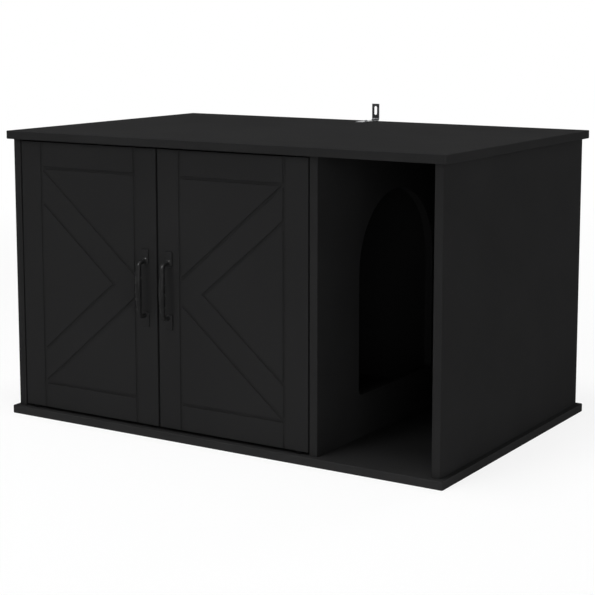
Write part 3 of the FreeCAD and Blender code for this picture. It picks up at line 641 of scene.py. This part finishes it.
def cutCross(master, look, top):
    # the cross recess, narrower at its floor
    size = Matrix.Diagonal((look["recess"], look["recess"] * look["barShare"], 2 * look["recessDepth"], 1))
    cutterMesh = bmesh.new()
    for turn in (0, math.pi / 2):
        place = Matrix.Translation((0, 0, top)) @ Matrix.Rotation(turn, 4, "Z")
        made = bmesh.ops.create_cube(cutterMesh, size=1, matrix=place @ size)
        for vert in made["verts"]:
            if vert.co.z < top:
                vert.co.x *= look["recessTaper"]
                vert.co.y *= look["recessTaper"]
    cutter = newPiece(master.name + "Cutter", cutterMesh)
    recess = master.modifiers.new("recess", "BOOLEAN")
    recess.operation = "DIFFERENCE"
    recess.solver = "EXACT"
    recess.use_self = True
    recess.object = cutter
    bakeModifiers(master)
    bpy.data.objects.remove(cutter)


def panScrew(name, look):
    head, rise = look["head"] / 2, look["headHeight"]
    shank, length = look["shank"] / 2, look["length"]
    dome = [(head * across, rise * up) for across, up in look["dome"]]
    profile = [(0, -length), (shank, look["tip"] - length), (shank, 0), *dome, (0, rise)]
    master = turnedMaster(name, profile, look["around"])
    cutCross(master, look, rise)
    return master


def flushScrew(name, look):
    head, sink = look["head"] / 2, look["headHeight"]
    shank, length = look["shank"] / 2, look["length"]
    profile = [(0, -length), (shank, look["tip"] - length), (shank, -sink), (head, -look["rim"]),
               (head * look["flatShare"], 0), (0, 0)]
    master = turnedMaster(name, profile, look["around"])
    cutCross(master, look, 0)
    return master


def camLock(name, look):
    radius, depth, lip = look["head"] / 2, look["length"], look["lip"]
    profile = [(0, -depth), (radius - lip, -depth), (radius, lip - depth), (radius, -lip), (radius - lip, 0),
               (radius - look["rim"], 0), (radius - look["dish"], -lip), (0, -lip)]
    master = turnedMaster(name, profile, look["around"])
    cutCross(master, look, -lip)
    return master


def camBolt(name, look):
    thread, neck, head = look["thread"] / 2, look["neck"] / 2, look["head"] / 2
    seat, turns = look["seat"], look["turns"]
    pitch = seat / turns
    rings = []
    for n in range(turns):                              # coarse thread in the base or the top
        low = -seat * (1 - n / turns)
        rings += [(thread * look["root"], low), (thread, low + pitch / 2)]
    waist, top = look["length"] - look["headHeight"], look["length"]
    profile = [(0, -seat), *rings, (thread, -look["collar"]), (thread, 0), (neck, look["shoulder"]),
               (neck, waist), (head, waist + look["headFoot"]), (head, top - look["crown"]),
               (head * look["crownShare"], top), (0, top)]
    return turnedMaster(name, profile, look["around"])


def flutedDowel(name, look):
    # a star-shaped rod with chamfered ends
    radius, length, chamfer = look["head"] / 2, look["length"], look["chamfer"]
    around = look["flutes"] * look["perFlute"]
    mesh = bmesh.new()
    rings = []
    for height, shrink in ((0, chamfer), (chamfer, 0), (length - chamfer, 0), (length, chamfer)):
        ring = []
        for n in range(around):
            turn = 2 * math.pi * n / around
            flute = look["fluteDepth"] if n % look["perFlute"] == 0 else 0
            reach = radius - shrink - flute
            corner = (reach * math.cos(turn), reach * math.sin(turn), height - look["seat"])
            ring.append(mesh.verts.new(corner))
        rings.append(ring)
    for first, second in zip(rings, rings[1:]):
        for n in range(around):
            mesh.faces.new((first[n - 1], first[n], second[n], second[n - 1]))
    mesh.faces.new(rings[0])
    mesh.faces.new(rings[-1])
    bmesh.ops.recalc_face_normals(mesh, faces=mesh.faces)
    return newPiece(name, mesh)


screwSizes = {
    "head": 6.6 * mm, "headHeight": 2 * mm, "shank": 3 * mm, "tip": 3 * mm, "length": 11 * mm, "around": 32,
    # shares of the head's radius and height, from the rim to the crown
    "dome": [(1, 0), (1, 0.36), (0.96, 0.60), (0.86, 0.80), (0.66, 0.95), (0.4, 1)],
    "recess": 3.4 * mm, "recessDepth": 1 * mm,
    "barShare": 0.27, "recessTaper": 0.72,     # a bar's width by its length, and its floor by its mouth
}
fittings = {
    "screw": (panScrew, screwSizes),
    "longScrew": (panScrew, {**screwSizes, "length": 16 * mm}),
    "flushScrew": (flushScrew, {**screwSizes, "headHeight": 1.5 * mm, "recessDepth": 0.9 * mm,
                                "rim": 0.15 * mm, "flatShare": 0.95}),
    "pullBolt": (panScrew, {**screwSizes, "head": 8 * mm, "headHeight": 2.4 * mm, "shank": 4 * mm,
                            "tip": 1 * mm, "length": 24 * mm, "recess": 4.2 * mm, "recessDepth": 1.2 * mm}),
    "cam": (camLock, {"head": 15 * mm, "length": 12.5 * mm, "lip": 0.35 * mm, "rim": 0.77 * mm,
                      "dish": 1.05 * mm, "around": 40, "recess": 9 * mm, "recessDepth": 2.5 * mm,
                      "barShare": 0.22, "recessTaper": 0.72}),
    "camBolt": (camBolt, {"thread": 6 * mm, "neck": 4.6 * mm, "head": 6.4 * mm, "headHeight": 4 * mm,
                          "seat": 11 * mm, "length": 36 * mm, "turns": 6, "root": 0.82, "collar": 0.01 * mm,
                          "shoulder": 0.3 * mm, "headFoot": 0.4 * mm, "crown": 0.5 * mm, "crownShare": 0.8,
                          "around": 24}),
    "dowel": (flutedDowel, {"head": 8 * mm, "length": 30 * mm, "seat": 10 * mm, "chamfer": 1 * mm,
                            "flutes": 18, "perFlute": 4, "fluteDepth": 0.3 * mm}),
}
masters = {name: make(name, look) for name, (make, look) in fittings.items()}


def outwards(node, box):
    # which way a fitting's head looks, from where it sits
    middle = (box[0] + box[1]) / 2
    if node in ("cam_bolts", "joint_dowels"):
        upper = middle.z > (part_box("base_panel")[0].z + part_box("top_panel")[1].z) / 2
        return Vector((0, 0, -1 if upper else 1))
    if node == "cam_locks":
        return Vector((1 if middle.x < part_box("left_side_panel")[1].x else -1, 0, 0))
    upright = {"catch_screws": Vector((0, 0, -1)), "bracket_screw": Vector((0, 0, 1))}
    return upright.get(node, Vector((0, 1, 0)))            # the rest look to the back


fittingNodes = {
    # node: master, finish, how far the head sits proud of its seat, how far it may be turned
    "back_panel_screws": ("longScrew", "zinc", 2 * mm, math.pi),
    "catch_screws": ("screw", "blackOxide", 2 * mm, math.pi),
    "bracket_screw": ("screw", "darkPlate", 2 * mm, math.pi),
    "left_handle_bolts": ("pullBolt", "zinc", 2.4 * mm, math.pi),
    "right_handle_bolts": ("pullBolt", "zinc", 2.4 * mm, math.pi),
    "left_strike_screw": ("flushScrew", "zinc", 0, math.pi),
    "right_strike_screw": ("flushScrew", "zinc", 0, math.pi),
    "cam_locks": ("cam", "castZinc", 0, 0.5),
    "cam_bolts": ("camBolt", "zinc", 36 * mm, math.pi),
    "joint_dowels": ("dowel", "beech", 20 * mm, math.pi),
}


def setOutFittings(node, masterName, finish, proud, spin, seed):
    points = bmesh.new()
    facing = points.verts.layers.float_vector.new("facing")
    for box in solidsOf(node):
        out = outwards(node, box)
        middle = (box[0] + box[1]) / 2
        reach = abs(out.dot(box[1] - box[0])) / 2          # from the middle to the outer end
        seat = points.verts.new(middle + out * (reach - proud))
        seat[facing] = out
    count = len(points.verts)
    piece = newPiece(node + ".set", points)
    modifier = piece.modifiers.new("setOut", "NODES")
    modifier.node_group = setOut
    given = {"Fitting": masters[masterName], "Spin": spin, "Seed": seed, "Finish": finishes[finish]}
    for socket in setOut.interface.items_tree:
        if socket.in_out == "INPUT" and socket.name in given:
            modifier[socket.identifier] = given[socket.name]
    bakeModifiers(piece)
    piece.data.shade_smooth()
    piece.data.set_sharp_from_angle(angle=dressing["smoothUnder"])
    standFor(piece, node)
    return count


setCount = 0
for seed, (node, facts) in enumerate(fittingNodes.items()):
    setCount += setOutFittings(node, *facts, seed)
for master in masters.values():
    bpy.data.objects.remove(master)
print("fittings set out:", setCount)


# Small hardware in its CAD shape, most of it with eased edges
hardware = {                           # finish, and how far the edges are eased
    "left_pivot_pins": ("blackOxide", 0), "right_pivot_pins": ("blackOxide", 0),
    "left_pivot_washer": ("nylon", 0.25 * mm), "right_pivot_washer": ("nylon", 0.25 * mm),
    "left_pivot_bushes": ("nylon", 0.2 * mm), "right_pivot_bushes": ("nylon", 0.2 * mm),
    "left_catch_housing": ("moulded", 0.5 * mm), "right_catch_housing": ("moulded", 0.5 * mm),
    "left_catch_magnet": ("ferrite", 0.3 * mm), "right_catch_magnet": ("ferrite", 0.3 * mm),
    "left_strike_plate": ("zinc", 0.2 * mm), "right_strike_plate": ("zinc", 0.2 * mm),
    "wall_bracket": ("darkPlate", 0.3 * mm),
}
for node, (finish, bevel) in hardware.items():
    dress(node, finishes[finish], bevel=bevel)
print("hardware dressed:", len(hardware))


# Studio
studio = {
    "floorSize": 30, "floorTone": 0.88, "floorRoughness": 0.7, "floorDrop": 0.2 * mm,
    "whiteShare": 0.85,                 # how much of the seen floor is plain white; the rest takes shadow
    "fade": (1.4, 3.2),                 # the floor turns plain white between these, metres from the middle
    "ambient": 0.14,
    "lamps": {                          # place and size in metres, power in watts
        "key": ((-0.62, -2.71, 2.59), 1.2, 36),
        "fill": ((3.7, -3.97, 0.7), 3.6, 125),
        "over": ((0.0, -0.5, 2.9), 0.8, 48),
        "side": ((3.0, 0.4, 0.7), 1.4, 11),
        "back": ((0.9, 3.2, 1.2), 1.4, 36),
        "left": ((-3.3, 0.3, 1.2), 1.4, 16),
        "glint": ((-0.62, -2.71, 2.59), 0.9, 460),
    },
    "glossOnly": {"glint"},             # makes highlights, and lights nothing else
    "aim": (0, 0, 0.28),
}


def seenRays(tree):
    # gives 1 for rays from the camera and for what gloss or glass shows, else 0
    path = tree.nodes.new("ShaderNodeLightPath")
    total = path.outputs["Is Camera Ray"]
    for other in ("Is Glossy Ray", "Is Transmission Ray"):
        add = tree.nodes.new("ShaderNodeMath")
        add.operation = "MAXIMUM"
        tree.links.new(total, add.inputs[0])
        tree.links.new(path.outputs[other], add.inputs[1])
        total = add.outputs["Value"]
    return total


def paleFloor():
    finish, tree, shader, place = startFinish("paleFloor", {"Roughness": studio["floorRoughness"]})
    shader.inputs["Base Color"].default_value = (studio["floorTone"],) * 3 + (1,)
    white = tree.nodes.new("ShaderNodeEmission")
    far = tree.nodes.new("ShaderNodeVectorMath")
    far.operation = "LENGTH"
    tree.links.new(place, far.inputs[0])
    share = spreadOver(tree, far.outputs["Value"], studio["whiteShare"], 1, studio["fade"])
    both = tree.nodes.new("ShaderNodeMath")
    both.operation = "MULTIPLY"
    tree.links.new(seenRays(tree), both.inputs[0])
    tree.links.new(share, both.inputs[1])
    mix = tree.nodes.new("ShaderNodeMixShader")
    tree.links.new(both.outputs["Value"], mix.inputs["Fac"])
    tree.links.new(shader.outputs["BSDF"], mix.inputs[1])
    tree.links.new(white.outputs["Emission"], mix.inputs[2])
    tree.links.new(mix.outputs["Shader"], tree.nodes["Material Output"].inputs["Surface"])
    return finish


floorMesh = bmesh.new()
bmesh.ops.create_grid(floorMesh, x_segments=1, y_segments=1, size=studio["floorSize"] / 2,
                      matrix=Matrix.Translation((0, 0, -studio["floorDrop"])))
floor = newPiece("studio_floor", floorMesh, paleFloor())

world = bpy.data.worlds.new("whiteStudio")
scene.world = world
world.use_nodes = True
sky = world.node_tree.nodes["Background"]
sky.inputs["Color"].default_value = (1, 1, 1, 1)
strength = spreadOver(world.node_tree, seenRays(world.node_tree), studio["ambient"], 1, (0, 1))
world.node_tree.links.new(strength, sky.inputs["Strength"])

for name, (place, size, power) in studio["lamps"].items():
    lamp = bpy.data.lights.new(name, "AREA")
    lamp.size = size
    lamp.energy = power
    holder = bpy.data.objects.new(name, lamp)
    holder.location = place
    holder.rotation_euler = (Vector(studio["aim"]) - Vector(place)).to_track_quat("-Z", "Y").to_euler()
    holder.visible_camera = False
    holder.visible_diffuse = name not in studio["glossOnly"]
    scene.collection.objects.link(holder)

viewpoint = {
    "eye": (1.5095, -2.3976, 0.7491), "yaw": 32.224, "pitch": 7.965,    # metres and degrees
    "lens": 93.6, "sensor": 36, "shift": -0.12,                         # lens and sensor in millimetres
}
camera = bpy.data.cameras.new("photoView")
camera.sensor_width = viewpoint["sensor"]
camera.lens = viewpoint["lens"]
camera.shift_y = viewpoint["shift"]
cameraHolder = bpy.data.objects.new("photoView", camera)
cameraHolder.location = viewpoint["eye"]
cameraHolder.rotation_euler = (math.radians(90 - viewpoint["pitch"]), 0, math.radians(viewpoint["yaw"]))
scene.collection.objects.link(cameraHolder)
scene.camera = cameraHolder
scene.view_settings.view_transform = "Standard"
print("studio ready")
